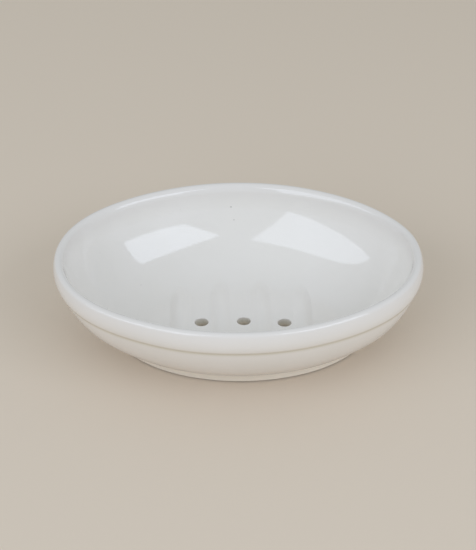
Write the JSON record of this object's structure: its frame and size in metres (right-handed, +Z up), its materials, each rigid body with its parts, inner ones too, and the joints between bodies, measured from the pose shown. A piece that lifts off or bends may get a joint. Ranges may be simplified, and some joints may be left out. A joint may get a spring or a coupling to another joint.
{
  "type": "soap dish",
  "caption": "Oval glazed earthenware soap dish with a rolled lip, a moulded groove, a ribbed floor with drain holes and a low foot ring.",
  "frame": {"origin": "middle of the footprint, on the surface that the dish stands on", "axes": "+Z up out of the bowl, +X along the length of the oval and the row of drain holes, +Y towards the back as the picture shows it"},
  "size_m": [0.135, 0.102, 0.0354],
  "materials": {
    "fired_clay": "bare fired earthenware, matt and slightly porous, seen only under the foot ring",
    "cream_glaze": "smooth glossy cream glaze with a few fine dark specks"
  },
  "bodies": {
    "root": {"dish_body": "fired_clay", "glaze_coat": "cream_glaze"}
  },
  "joints": []
}
